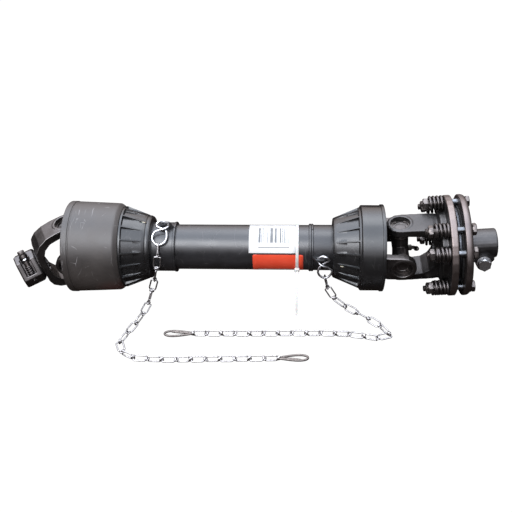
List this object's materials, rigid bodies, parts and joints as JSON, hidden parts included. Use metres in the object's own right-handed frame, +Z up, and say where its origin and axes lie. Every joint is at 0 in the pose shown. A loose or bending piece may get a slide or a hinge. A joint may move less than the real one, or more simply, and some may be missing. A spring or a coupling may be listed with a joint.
{
  "type": "pto drive shaft",
  "caption": "Tractor drive shaft: telescoping profiled tubes in a black plastic guard, universal joints, a push-pin yoke, a spring-loaded friction clutch and guard chains",
  "frame": {"origin": "bottom centre of the bounding box: the shaft lies on the ground, which is z = 0", "axes": "+X along the shaft from the tractor yoke to the clutch; -Y the side with the chains, facing the camera in the picture; +Z up"},
  "size_m": [0.7959, 0.2754, 0.1667],
  "materials": {
    "black_steel": null,
    "grey_steel": null,
    "bright_steel": null,
    "black_plastic": null,
    "nylon_ring": null,
    "zinc": null,
    "black_spring": null,
    "friction_lining": null,
    "white_plastic": null,
    "brass_nipple": null
  },
  "bodies": {
    "guard_outer": {"outer_guard_tube": "black_plastic", "left_bell": "black_plastic", "left_cone": "black_plastic", "left_collar": "black_plastic", "left_bearing_ring": "nylon_ring", "left_ring": "zinc", "left_chain": "zinc", "left_snap_hook": "zinc", "cable_tie": "white_plastic"},
    "guard_inner": {"inner_guard_tube": "black_plastic", "right_cone": "black_plastic", "right_collar": "black_plastic", "right_bearing_ring": "nylon_ring", "right_ring": "zinc", "right_chain": "zinc", "right_snap_hook": "zinc"},
    "drive_outer": {"left_tube_fork": "black_steel", "outer_drive_tube": "grey_steel", "left_roll_pin": "grey_steel", "left_cap_front": "grey_steel", "left_cap_back": "grey_steel"},
    "drive_inner": {"right_tube_fork": "black_steel", "inner_drive_tube": "grey_steel", "right_roll_pin": "grey_steel", "right_cap_front": "grey_steel", "right_cap_back": "grey_steel"},
    "left_spider": {"left_cross": "grey_steel"},
    "tractor_end": {"tractor_yoke": "black_steel", "left_cap_top": "grey_steel", "left_cap_bottom": "grey_steel", "release_pin_spring": "black_spring"},
    "push_pin": {"release_pin": "bright_steel"},
    "right_spider": {"right_cross": "grey_steel", "right_grease_nipple": "brass_nipple"},
    "clutch_pack": {"clutch_flange_fork": "black_steel", "clutch_pressure_plate": "black_steel", "friction_disc_left": "friction_lining", "friction_disc_right": "friction_lining", "right_cap_top": "grey_steel", "right_cap_bottom": "grey_steel", "clutch_bolt_1": "black_steel", "clutch_bolt_2": "black_steel", "clutch_bolt_3": "black_steel", "clutch_bolt_4": "black_steel", "clutch_bolt_5": "black_steel", "clutch_bolt_6": "black_steel", "clutch_bolt_7": "black_steel", "clutch_bolt_8": "black_steel", "clutch_spring_1": "black_spring", "clutch_spring_2": "black_spring", "clutch_spring_3": "black_spring", "clutch_spring_4": "black_spring", "clutch_spring_5": "black_spring", "clutch_spring_6": "black_spring", "clutch_spring_7": "black_spring", "clutch_spring_8": "black_spring"},
    "implement_hub": {"clutch_hub": "black_steel", "clamp_bolt": "zinc", "clamp_washer": "zinc", "clamp_nut": "zinc"}
  },
  "joints": [
    {"name": "shaft_spin", "type": "hinge", "parent": "guard_outer", "child": "drive_outer", "pos_m": [-0.0014, 0.0553, 0.076], "axis": [1, 0, 0], "continuous": true},
    {"name": "telescope", "type": "slide", "parent": "drive_outer", "child": "drive_inner", "axis": [1, 0, 0], "range_m": [0, 0.14]},
    {"name": "guard_telescope", "type": "slide", "parent": "guard_outer", "child": "guard_inner", "axis": [1, 0, 0], "range_m": [0, 0.14]},
    {"name": "left_cross_tilt", "type": "hinge", "parent": "drive_outer", "child": "left_spider", "pos_m": [-0.2974, 0.0553, 0.076], "axis": [0, 1, 0], "range_deg": [-18, 42]},
    {"name": "tractor_yoke_tilt", "type": "hinge", "parent": "left_spider", "child": "tractor_end", "pos_m": [-0.2974, 0.0553, 0.076], "axis": [-0.2079, 0, 0.9781], "range_deg": [-58, 2]},
    {"name": "push_pin_press", "type": "slide", "parent": "tractor_end", "child": "push_pin", "axis": [0.4097, -0.4415, -0.7983], "range_m": [0, 0.007], "stiffness_N_per_m": 1500, "springref_m": -0.004},
    {"name": "right_cross_tilt", "type": "hinge", "parent": "drive_inner", "child": "right_spider", "pos_m": [0.2436, 0.0553, 0.076], "axis": [0, 1, 0], "range_deg": [-20, 29.8]},
    {"name": "clutch_tilt", "type": "hinge", "parent": "right_spider", "child": "clutch_pack", "pos_m": [0.2436, 0.0553, 0.076], "axis": [-0.0848, 0, 0.9964], "range_deg": [-25, 25]},
    {"name": "clutch_slip", "type": "hinge", "parent": "clutch_pack", "child": "implement_hub", "pos_m": [0.2436, 0.0553, 0.076], "axis": [0.9964, 0, 0.0848], "continuous": true}
  ],
  "couplings": [
    {"joint": "guard_telescope", "follows": "telescope", "ratio": 1}
  ]
}
